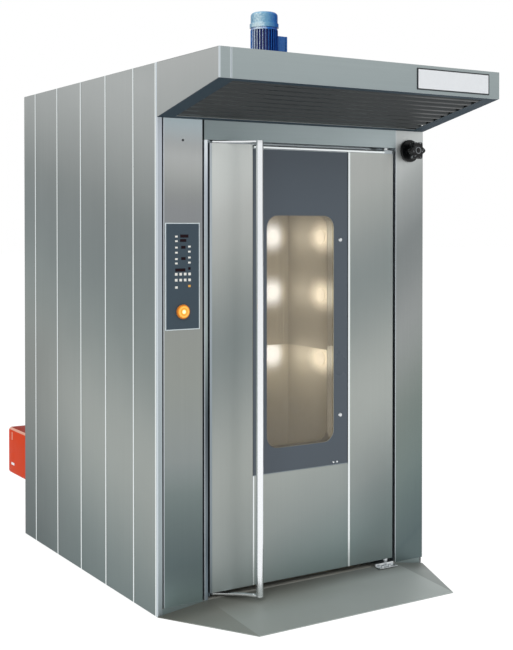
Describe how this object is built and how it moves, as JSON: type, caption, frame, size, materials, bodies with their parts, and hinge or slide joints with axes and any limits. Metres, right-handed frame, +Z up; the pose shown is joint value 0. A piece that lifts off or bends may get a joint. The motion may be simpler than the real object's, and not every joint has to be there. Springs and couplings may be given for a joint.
{
  "type": "rotating rack oven",
  "caption": "Rotating rack oven: insulated steel cabinet with a full-height glazed door, steam hood, entry ramp, roof rack drive and rear burner.",
  "frame": {"origin": "on the floor under the middle of the cabinet", "axes": "+Z up, front faces -Y, +X to the right seen from the front"},
  "size_m": [1.55, 2.6658, 2.906],
  "materials": {
    "stainless": "brushed, satin",
    "bright_strip": "polished edge",
    "frame_steel": "mill finish",
    "ramp_plate": "matt, scuffed",
    "pale_plate": "satin, dark edge line",
    "slate_enamel": "satin",
    "display_red": "gloss window",
    "key_white": "matt foil",
    "black_plastic": "matt",
    "button_orange": "translucent",
    "mineral_wool": "fibrous",
    "chamber_steel": "heat tinted",
    "lamp_glass": "frosted",
    "heat_steel": "heat tinted",
    "galvanised": "galvanised",
    "burner_grey": "cast",
    "burner_red": "semi-gloss",
    "cast_iron": "as cast",
    "brass": "drawn",
    "motor_blue": "semi-gloss",
    "cowl_blue": "semi-gloss",
    "window_glass": "clear",
    "silicone_seal": "matt"
  },
  "bodies": {
    "cabinet": {"left_cladding": "stainless", "right_cladding": "stainless", "rear_cladding": "stainless", "roof_panel": "stainless", "control_column": "stainless", "right_column": "stainless", "lintel_panel": "stainless", "hood_shell": "stainless", "hood_fascia": "stainless", "seam_strips": "bright_strip", "hinge_brackets": "bright_strip", "base_frame": "frame_steel", "front_frame": "frame_steel", "hood_slats": "frame_steel", "inner_casing": "frame_steel", "control_box": "frame_steel", "entry_ramp": "ramp_plate", "hood_plate": "pale_plate", "control_panel": "slate_enamel", "display_windows": "display_red", "keypad_keys": "key_white", "button_collar": "black_plastic", "damper_flange": "black_plastic", "wool_slabs": "mineral_wool", "chamber_left_wall": "chamber_steel", "chamber_right_wall": "chamber_steel", "chamber_rear_wall": "chamber_steel", "chamber_ceiling": "chamber_steel", "chamber_lamps": "lamp_glass", "combustion_chamber": "heat_steel", "exchanger_tubes": "heat_steel", "flue_pipe": "galvanised", "steam_duct": "galvanised", "burner_body": "burner_grey", "burner_cover": "burner_red", "steam_cascade": "cast_iron", "water_pipe": "brass", "gearbox": "motor_blue", "motor_body": "motor_blue", "fan_motor": "motor_blue", "motor_cowl": "cowl_blue"},
    "door": {"door_frame": "stainless", "door_skins": "stainless", "door_trim": "bright_strip", "window_surround": "slate_enamel", "window_glass": "window_glass", "door_wool": "mineral_wool", "door_liner": "stainless", "door_seal": "silicone_seal"},
    "handle": {"handle_bar": "bright_strip", "handle_cranks": "bright_strip", "latch_shaft": "bright_strip"},
    "rotor": {"rotor_shaft": "frame_steel", "rack_hook": "frame_steel"},
    "motor_fan": {"motor_fan": "burner_grey"},
    "circulation_fan": {"fan_wheel": "galvanised"},
    "burner_fan": {"burner_fan": "burner_grey"},
    "damper": {"damper_knob": "black_plastic", "damper_flap": "galvanised"},
    "start_button": {"start_button": "button_orange"}
  },
  "joints": [
    {"name": "door_hinge", "type": "hinge", "parent": "cabinet", "child": "door", "pos_m": [0.545, -0.805, 0], "axis": [0, 0, 1], "range_deg": [0, 110]},
    {"name": "handle_turn", "type": "hinge", "parent": "door", "child": "handle", "pos_m": [-0.465, -0.8, 0], "axis": [0, 0, 1], "range_deg": [0, 26]},
    {"name": "motor_spin", "type": "hinge", "parent": "cabinet", "child": "motor_fan", "pos_m": [0.177, -0.23, 2.83], "axis": [0, 0, 1], "continuous": true},
    {"name": "rotor_turn", "type": "hinge", "parent": "cabinet", "child": "rotor", "pos_m": [0.177, -0.23, 2.1], "axis": [0, 0, 1], "continuous": true},
    {"name": "circulation_fan_spin", "type": "hinge", "parent": "cabinet", "child": "circulation_fan", "pos_m": [0.177, 0.57, 1.7], "axis": [0, 1, 0], "continuous": true},
    {"name": "burner_fan_spin", "type": "hinge", "parent": "cabinet", "child": "burner_fan", "pos_m": [-0.54, 1.052, 0.403], "axis": [1, 0, 0], "continuous": true},
    {"name": "damper_turn", "type": "hinge", "parent": "cabinet", "child": "damper", "pos_m": [0.68, -0.83, 2.151], "axis": [0, 1, 0], "range_deg": [0, 90]},
    {"name": "start_button_press", "type": "slide", "parent": "cabinet", "child": "start_button", "axis": [0, 1, 0], "range_m": [0, 0.004], "stiffness_N_per_m": 900}
  ],
  "couplings": [
    {"joint": "rotor_turn", "follows": "motor_spin", "ratio": 0.0044444}
  ]
}
